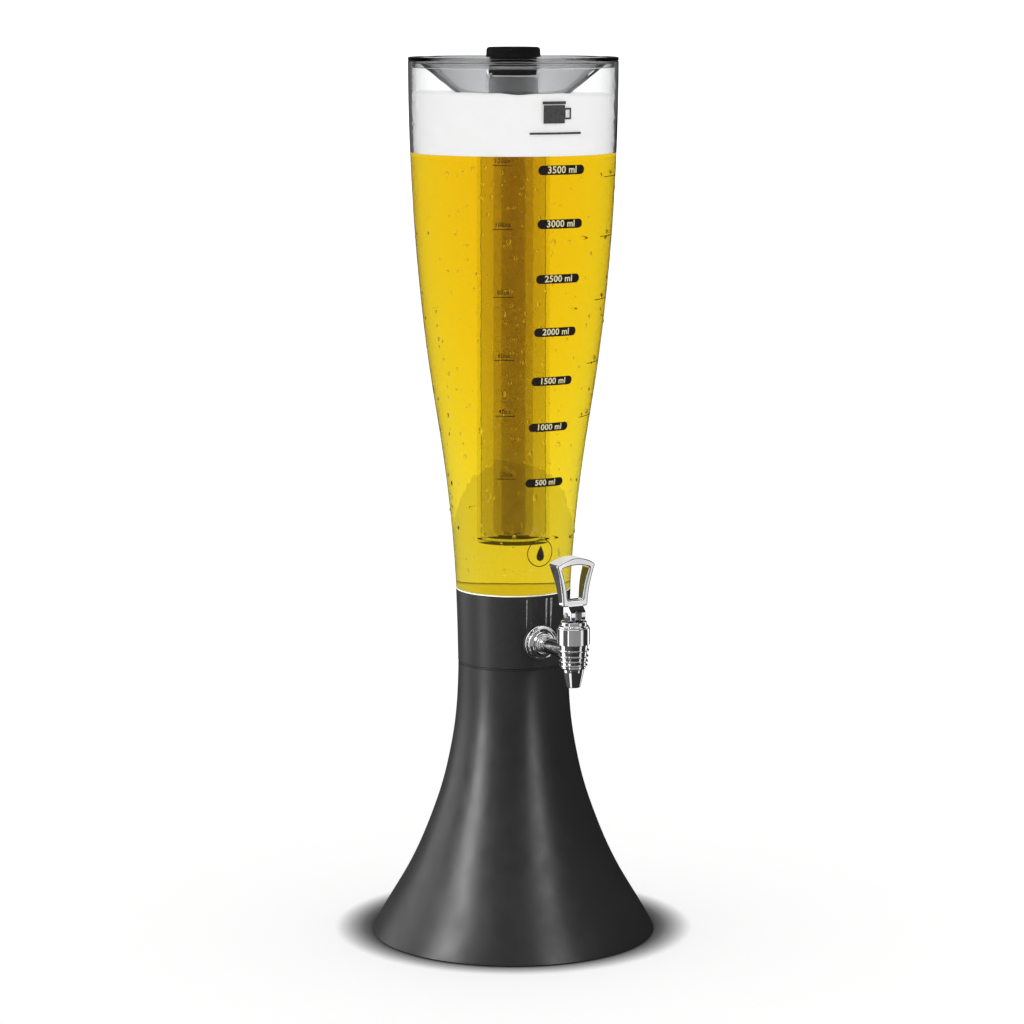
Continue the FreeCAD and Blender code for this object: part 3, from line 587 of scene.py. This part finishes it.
def pill(width, height, steps=10):
    """Flat capsule as strips, so that it can bend round the tank."""
    points, faces = [], []
    half, radius = width / 2, height / 2
    columns = []
    for i in range(steps + 1):
        turn = math.pi / 2 * (1 - i / steps)
        columns.append((-half + radius - radius * math.sin(turn), radius * math.cos(turn)))
    inner = 12
    for i in range(1, inner):
        columns.append((-half + radius + (width - height) * i / inner, radius))
    columns += [(-x, y) for x, y in columns[:steps + 1]][::-1]
    for x, y in columns:
        points += [(x, -max(y, 1e-5)), (x, max(y, 1e-5))]
    for i in range(len(columns) - 1):
        faces.append((2 * i, 2 * i + 2, 2 * i + 3, 2 * i + 1))
    return points, faces


def bar(width, height, steps=8):
    points, faces = [], []
    for i in range(steps + 1):
        x = width * (i / steps - 0.5)
        points += [(x, -height / 2), (x, height / 2)]
    for i in range(steps):
        faces.append((2 * i, 2 * i + 2, 2 * i + 3, 2 * i + 1))
    return points, faces


def frame_shape(width, height, line):
    """Open rectangle of four bars."""
    side = bar(line, height, 2)
    cap = bar(width, line, 2)
    return joined([
        shifted(side, (line - width) / 2, 0), shifted(side, (width - line) / 2, 0),
        shifted(cap, 0, (height - line) / 2), shifted(cap, 0, (line - height) / 2),
    ])


def streak(width, height, steps=14):
    """Upright bar that narrows towards its foot."""
    points, faces = [], []
    for i in range(steps + 1):
        share = i / steps
        half = width / 2 * (0.15 + 0.85 * math.sin(share * math.pi / 2))
        points += [(-half, height * (share - 0.5)), (half, height * (share - 0.5))]
    for i in range(steps):
        faces.append((2 * i, 2 * i + 1, 2 * i + 3, 2 * i + 2))
    return points, faces


def hoop(radius, line, steps=48):
    points, faces = [], []
    for i in range(steps):
        turn = 2 * math.pi * i / steps
        for r in (radius - line, radius):
            points.append((r * math.sin(turn), r * math.cos(turn)))
    for i in range(steps):
        j = (i + 1) % steps
        faces.append((2 * i, 2 * j, 2 * j + 1, 2 * i + 1))
    return points, faces


def drop_shape(height, steps=36):
    """A plain water drop: a round foot that narrows to a tip."""
    points = []
    for i in range(steps):
        turn = 2 * math.pi * i / steps
        narrow = math.sin(turn / 2) ** 1.5
        points.append((0.36 * height * math.sin(turn) * narrow, 0.5 * height * math.cos(turn)))
    return points, [tuple(range(steps))]


def shifted(shape, dx, dy):
    points, faces = shape
    return [(x + dx, y + dy) for x, y in points], faces


def joined(shapes):
    points, faces = [], []
    for some_points, some_faces in shapes:
        start = len(points)
        points += some_points
        faces += [tuple(start + i for i in face) for face in some_faces]
    return points, faces


class Print:
    """Collects flat shapes, laid on the tank's outer face, into one thin piece."""

    def __init__(self, name, look, slot, lift=0.0):
        self.name, self.look, self.slot, self.lift = name, look, slot, lift
        self.points, self.faces = [], []

    def add(self, shape, azimuth, z):
        points, faces = shape
        start = len(self.points)
        for u, v in points:
            at = on_tank(u, v, azimuth, z)
            outward = Vector((at.x, at.y, 0)).normalized()
            self.points.append(at + outward * self.lift)
        for face in faces:
            self.faces.append(tuple(start + i for i in face))

    def finish(self):
        """Gives the print its thickness, so that it is a closed body of ink."""
        count = len(self.points)
        edges = {}
        for face in self.faces:
            for a, b in zip(face, face[1:] + face[:1]):
                edges[(a, b)] = True
        back = [p - Vector((p.x, p.y, 0)).normalized() * PRINT_THICK for p in self.points]
        faces = list(self.faces) + [tuple(count + i for i in reversed(face)) for face in self.faces]
        for a, b in edges:
            if (b, a) not in edges:
                faces.append((b, a, count + a, count + b))
        return piece_from(self.name, self.points + back, faces, self.look, "tank", smooth=False)


def make_millilitre_scale():
    dark = ink("ink_dark", (0.012, 0.008, 0.006), (0.03, 0.018, 0.012))
    pale = ink("ink_pale", (0.70, 0.62, 0.36), (0.85, 0.78, 0.50))
    fields = Print("scale_millilitre_fields", dark, "cap_plastic")
    numbers = Print("scale_millilitre_numbers", pale, "seal_silicone", 0.00006)
    lowest, highest = min(MILLILITRE_MARKS.values()), max(MILLILITRE_MARKS.values())
    for amount, z in MILLILITRE_MARKS.items():
        share = 0.83 + 0.17 * (z - lowest) / (highest - lowest)
        fields.add(pill(0.0390 * share, 0.0070 * (0.5 + 0.5 * share)), 0, z)
        numbers.add(letters(f"{amount} ml", 0.0053 * share, 0.00013, 1.04), 0, z)
    return [fields.finish(), numbers.finish()]


def make_side_scales():
    fine = ink("ink_brown", (0.018, 0.010, 0.004), (0.04, 0.024, 0.008))
    ounces = Print("scale_ounces", fine, "cap_plastic")
    for amount, z in OUNCE_MARKS.items():
        ounces.add(letters(f"{amount}oz", SMALL_LETTERS, 0.00004, 1.05), -34, z)
        ounces.add(bar(0.0150, 0.00055), -34, z - SMALL_LETTERS)
    pints = Print("scale_pints", fine, "cap_plastic")
    for amount, z in PINT_MARKS.items():
        pints.add(letters(f"{amount}pt", SMALL_LETTERS, 0.00004), 42, z)
        pints.add(bar(0.0300, 0.00055), 44, z - SMALL_LETTERS)
    return [ounces.finish(), pints.finish()]


def make_badge():
    umber = ink("ink_umber", (0.03, 0.016, 0.004), (0.06, 0.034, 0.01))
    badge = Print("outlet_badge", umber, "cap_plastic")
    badge.add(hoop(0.0108, 0.0007), -1.5, BADGE_Z)
    badge.add(drop_shape(0.0125), -1.5, BADGE_Z)
    return badge.finish()


def make_emblem():
    """A plain mug over a rule."""
    grey = ink("ink_grey", (0.05, 0.05, 0.052), (0.085, 0.085, 0.088))
    emblem = Print("mug_emblem", grey, "cap_plastic")
    emblem.add(bar(0.0170, 0.0135), -5.5, EMBLEM_Z)
    emblem.add(shifted(frame_shape(0.0062, 0.0085, 0.0014), 0.0108, 0.0004), -5.5, EMBLEM_Z)
    emblem.add(shifted(bar(0.0186, 0.0022), 0, 0.0084), -5.5, EMBLEM_Z)
    emblem.add(bar(0.0420, 0.0016), -4, RULE_Z)
    return emblem.finish()


def boss_painted_highlights():
    """Painted highlights: pale strips for the bright edges of the boss behind the tap, where they meet the
    clear wall.
    """
    pale = ink("boss_painted_highlights", (0.10, 0.10, 0.10), (0.34, 0.34, 0.33))
    gleam = Print("boss_edge_painted_highlights", pale, "cup_plastic", SKIN_LIFT)
    low, high = STREAK_Z
    # Three pale strips, painted as highlights along the boss's edges.
    for azimuth, width in ((-14.5, 0.0009), (7.0, 0.0016), (13.0, 0.0020)):
        gleam.add(streak(width, high - low), azimuth, (low + high) / 2)
    return gleam.finish()


# ---- Droplets on the tank --------------------------------------------------------------------
def drop_dome(at, outward, size, tall):
    """Points and faces of one small flattened dome that sits on the tank, closed at its foot."""
    up = Vector((0, 0, 1))
    side = up.cross(outward).normalized()
    points, faces = [], []
    rings, around = 3, 10
    for ring in range(rings):
        angle = math.pi / 2 * ring / rings
        for i in range(around):
            turn = 2 * math.pi * i / around
            flat = side * math.cos(turn) + up * math.sin(turn) * tall
            points.append(at + flat * size * math.cos(angle) + outward * size * 0.55 * math.sin(angle))
    points.append(at + outward * size * 0.55)
    top = len(points) - 1
    for ring in range(rings - 1):
        below, above = ring * around, (ring + 1) * around
        for i in range(around):
            j = (i + 1) % around
            faces.append((below + i, below + j, above + j, above + i))
    last = (rings - 1) * around
    for i in range(around):
        faces.append((last + i, last + (i + 1) % around, top))
    faces.append(tuple(reversed(range(around))))
    return points, faces


def make_droplets():
    points, faces = [], []
    for i in range(DROPLETS):
        z = draw.uniform(*DROPLET_Z)
        azimuth = draw.gauss(-32, 26) if i % 2 else draw.uniform(-180, 180)
        size = draw.uniform(0.0004, 0.0012) * (1.5 if draw.random() < 0.15 else 1.0)
        at = on_tank(0, 0, azimuth, z)
        outward = Vector((at.x, at.y, 0)).normalized()
        tall = draw.uniform(1.0, 1.7)
        some_points, some_faces = drop_dome(at - outward * PRINT_LIFT, outward, size, tall)
        start = len(points)
        points += some_points
        faces += [tuple(start + i for i in face) for face in some_faces]
    return piece_from("droplets", points, faces, droplet_water(), "tank")


# ---- Studio ------------------------------------------------------------------------------------
def make_floor():
    """A pale floor that brightens outwards, with a soft contact shadow painted behind the base."""
    look = Look("pale_floor", Roughness=0.7)
    look.bump(look.noise(400.0), 0.0001, 0.1)
    reach = look.node("ShaderNodeVectorMath", operation="LENGTH")
    look.link(look.place, reach.inputs[0])
    look.spread(reach.outputs["Value"], 0.33, 0.42, "Emission Strength", 0.6, 1.6)
    # Painted contact shadow: floor colour and glow darken near the base, round a centre set a little behind
    # it.
    shade = look.node("ShaderNodeVectorMath", operation="DISTANCE")
    look.link(look.place, shade.inputs[0])
    shade.inputs[1].default_value = around(180, 0.012, 0)
    ramp = look.node("ShaderNodeValToRGB")
    stops = [(0.0, 0.02), (0.108, 0.03), (0.117, 0.13), (0.124, 0.30), (0.131, 0.54), (0.140, 0.92)]
    ramp.color_ramp.elements[0].position, ramp.color_ramp.elements[1].position = 0.0, stops[-1][0]
    for place, _ in stops[1:-1]:
        ramp.color_ramp.elements.new(place)
    for element, (_, level) in zip(ramp.color_ramp.elements, stops):
        element.color = (level, level, level, 1)
    look.link(shade.outputs["Value"], ramp.inputs["Fac"])
    look.link(ramp.outputs["Color"], look.shader.inputs["Base Color"])
    look.link(ramp.outputs["Color"], look.shader.inputs["Emission Color"])
    path = look.node("ShaderNodeLightPath")
    straight = look.node("ShaderNodeMath", operation="LESS_THAN")
    straight.inputs[1].default_value = 0.5
    look.link(path.outputs["Glossy Depth"], straight.inputs[0])
    unseen = look.node("ShaderNodeBsdfTransparent")
    either = look.node("ShaderNodeMixShader")
    look.link(straight.outputs["Value"], either.inputs[0])
    look.link(unseen.outputs["BSDF"], either.inputs[1])
    look.link(look.shader.outputs["BSDF"], either.inputs[2])
    look.link(either.outputs["Shader"], look.output.inputs["Surface"])
    bpy.ops.mesh.primitive_circle_add(vertices=96, radius=9, fill_type="NGON", location=(0, 0, 0))
    floor = bpy.context.object
    floor.name = "floor"
    floor.data.materials.append(look.material)
    floor.visible_glossy = False


def around(azimuth, distance, z):
    """A place round the tower; azimuth 0 is the camera's side, and it grows to the camera's right."""
    turn = math.radians(VIEW_AZIMUTH + azimuth)
    return Vector((math.sin(turn) * distance, -math.cos(turn) * distance, z))


def area_light(name, place, target, width, height, radiance, lit):
    """A soft box that lights only the objects of one collection."""
    data = bpy.data.lights.new(name, "AREA")
    data.shape = "RECTANGLE"
    data.size = width
    data.size_y = height
    data.energy = radiance * math.pi * width * height
    lamp = bpy.data.objects.new(name, data)
    scene.collection.objects.link(lamp)
    lamp.location = place
    lamp.rotation_euler = (target - place).to_track_quat("-Z", "Y").to_euler()
    lamp.light_linking.receiver_collection = lit
    lamp.visible_camera = False
    lamp.visible_transmission = False


def group_of(name, members):
    group = bpy.data.collections.new(name)
    for member in members:
        group.objects.link(member)
    return group


def make_world():
    """White all round to look at and to look through, dim at the sides for what it lights and mirrors."""
    world = bpy.data.worlds.new("studio")
    scene.world = world
    world.use_nodes = True
    world.cycles.sampling_method = "NONE"
    tree = world.node_tree
    background = tree.nodes["Background"]
    background.inputs["Color"].default_value = (1, 1, 1, 1)

    def math_of(kind, operation, *inputs):
        made = tree.nodes.new(kind)
        made.operation = operation
        for socket, value in zip(made.inputs, inputs):
            if isinstance(value, bpy.types.NodeSocket):
                tree.links.new(value, socket)
            else:
                socket.default_value = value
        return made

    def mixed(share, value, strength):
        """value, and strength where share is 1."""
        made = tree.nodes.new("ShaderNodeMix")
        tree.links.new(share, made.inputs["Factor"])
        tree.links.new(value, made.inputs["A"])
        made.inputs["B"].default_value = strength
        return made.outputs["Result"]

    direction = tree.nodes.new("ShaderNodeTexCoord").outputs["Generated"]
    side = math_of("ShaderNodeVectorMath", "DOT_PRODUCT", direction, around(-95, 1, 0.25))
    mirrored = tree.nodes.new("ShaderNodeMapRange")
    mirrored.inputs["From Min"].default_value = -0.2
    mirrored.inputs["To Min"].default_value = 0.03
    mirrored.inputs["To Max"].default_value = 0.12
    tree.links.new(side.outputs["Value"], mirrored.inputs["Value"])

    path = tree.nodes.new("ShaderNodeLightPath").outputs
    through_glass = path["Is Transmission Ray"]
    straight = math_of("ShaderNodeMath", "LESS_THAN", path["Glossy Depth"], 0.5).outputs["Value"]
    straight_through = math_of("ShaderNodeMath", "MULTIPLY", through_glass, straight).outputs["Value"]
    seen = math_of("ShaderNodeMath", "MAXIMUM", path["Is Camera Ray"], straight_through).outputs["Value"]
    strength = mixed(through_glass, mirrored.outputs["Result"], 0.15)
    strength = mixed(path["Is Diffuse Ray"], strength, 0.85)
    strength = mixed(seen, strength, 1.34)
    tree.links.new(strength, background.inputs["Strength"])


def make_lights(neck_pieces):
    dark = nodes_with("base_plastic", "cup_plastic", "foot_rubber")
    body_group = group_of("lit_body", dark + neck_pieces)
    tap_group = group_of("lit_tap", nodes_with("tap_chrome", "spring_steel"))
    middle = Vector((0, 0, 0.2))
    area_light("key_left", around(-62, 1.7, 1.0), middle, 0.5, 2.2, 12, body_group)
    area_light("edge_left", around(-112, 1.7, 0.8), middle, 1.1, 2.0, 1.5, body_group)
    area_light("fill_right", around(38, 1.9, 0.9), middle, 0.32, 1.9, 8, body_group)
    valve_low, valve_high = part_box("tap_bonnet")
    tap_place = (valve_low + valve_high) / 2
    boxes = [
        ("tap_left", -95, 0.8, 0.05, 0.5, 0.9, 1.6),
        ("tap_near_left", -38, 0.9, 0.1, 0.10, 1.0, 1.5),
        ("tap_middle", 10, 0.9, 0.1, 2.0, 0.9, 0.24),
        ("tap_shank", -72, 0.7, 0.5, 0.4, 0.5, 1.1),
        ("tap_right", 62, 0.8, 0.05, 0.26, 0.9, 0.75),
        ("tap_edge_right", 128, 0.8, 0.05, 0.30, 0.9, 1.2),
        ("tap_top", 10, 0.4, 0.9, 0.9, 0.5, 1.6),
        ("tap_low", -40, 0.7, -0.55, 0.35, 0.35, 1.0),
    ]
    for name, azimuth, distance, rise, width, height, radiance in boxes:
        place = tap_place + around(azimuth, distance, rise)
        area_light(name, place, tap_place, width, height, radiance, tap_group)
    behind = tap_place + around(180, 0.028, 0.095)
    area_light("tap_back", behind, behind + around(0, 1, -0.3), 0.09, 0.12, 0.75, tap_group)
    beside_low, beside_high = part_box("tap_flange")
    beside = Vector((-0.032, beside_low.y - 0.012, beside_high.z + 0.012))
    shank_middle = Vector((0, (beside_low.y + valve_low.y) / 2, (beside_low.z + beside_high.z) / 2))
    area_light("shank_glow", beside, shank_middle, 0.03, 0.012, 1.4, tap_group)


def make_camera():
    data = bpy.data.cameras.new("camera")
    data.lens = LENS
    data.sensor_width = SENSOR
    data.shift_x = -0.00127
    data.clip_end = 50
    camera = bpy.data.objects.new("camera", data)
    scene.collection.objects.link(camera)
    camera.location = around(0, VIEW_DISTANCE, VIEW_HEIGHT)
    level = -Vector((camera.location.x, camera.location.y, 0)).normalized()
    aim = level * math.cos(math.radians(VIEW_PITCH)) - Vector((0, 0, math.sin(math.radians(VIEW_PITCH))))
    camera.rotation_euler = aim.to_track_quat("-Z", "Y").to_euler()
    scene.camera = camera


paint_cad_nodes()
make_beer()
make_ice()
make_cup_lining()
make_foam()
make_spring()
neck = [make_neck_skin(), make_rim_highlight_hoop(), boss_painted_highlights()]
make_millilitre_scale()
make_side_scales()
make_badge()
make_emblem()
make_droplets()
make_floor()
make_world()
make_lights(neck)
make_camera()
scene.view_settings.view_transform = "Standard"
scene.cycles.max_bounces = 32
scene.cycles.transmission_bounces = 32
